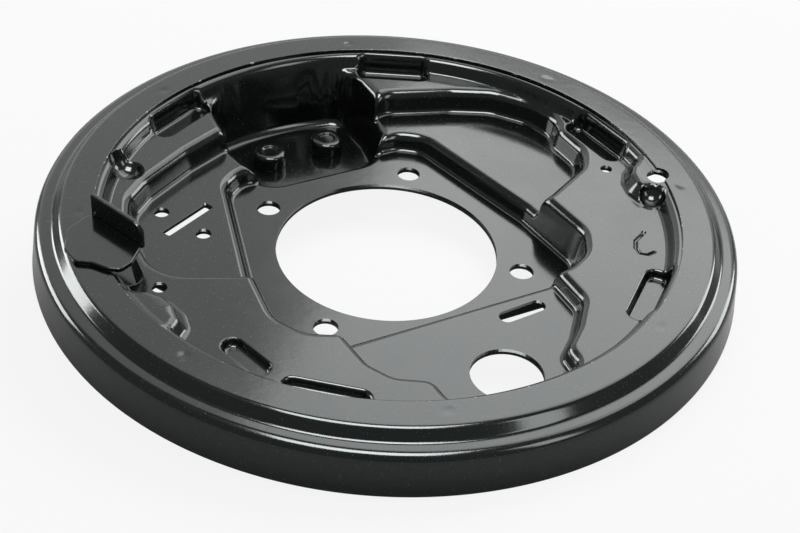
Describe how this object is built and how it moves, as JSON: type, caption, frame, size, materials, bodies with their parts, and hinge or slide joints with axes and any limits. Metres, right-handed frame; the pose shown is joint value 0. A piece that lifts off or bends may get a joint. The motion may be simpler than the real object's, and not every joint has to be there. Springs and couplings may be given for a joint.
{
  "type": "drum brake backing plate",
  "caption": "Pressed round steel backing plate for a drum brake, with a sunk hub face, wheel cylinder seat, shoe pads, anchor block and a turned-down dust ring.",
  "frame": {"origin": "centre of the round hub bore, on the hub face that the axle flange is bolted to", "axes": "+Z along the wheel axis toward the axle side, which is up as the plate lies on its shoe side; +Y toward the wheel cylinder seat; +X completes the right-handed frame and points to the side with the cable bracket"},
  "size_m": [0.3282, 0.3282, 0.0698],
  "materials": {
    "black_coat": "gloss"
  },
  "bodies": {
    "root": {"backing_plate": "black_coat", "dust_ring": "black_coat", "shoe_anchor": "black_coat", "anchor_rivet_left": "black_coat", "anchor_rivet_right": "black_coat", "cable_bracket": "black_coat"}
  },
  "joints": []
}
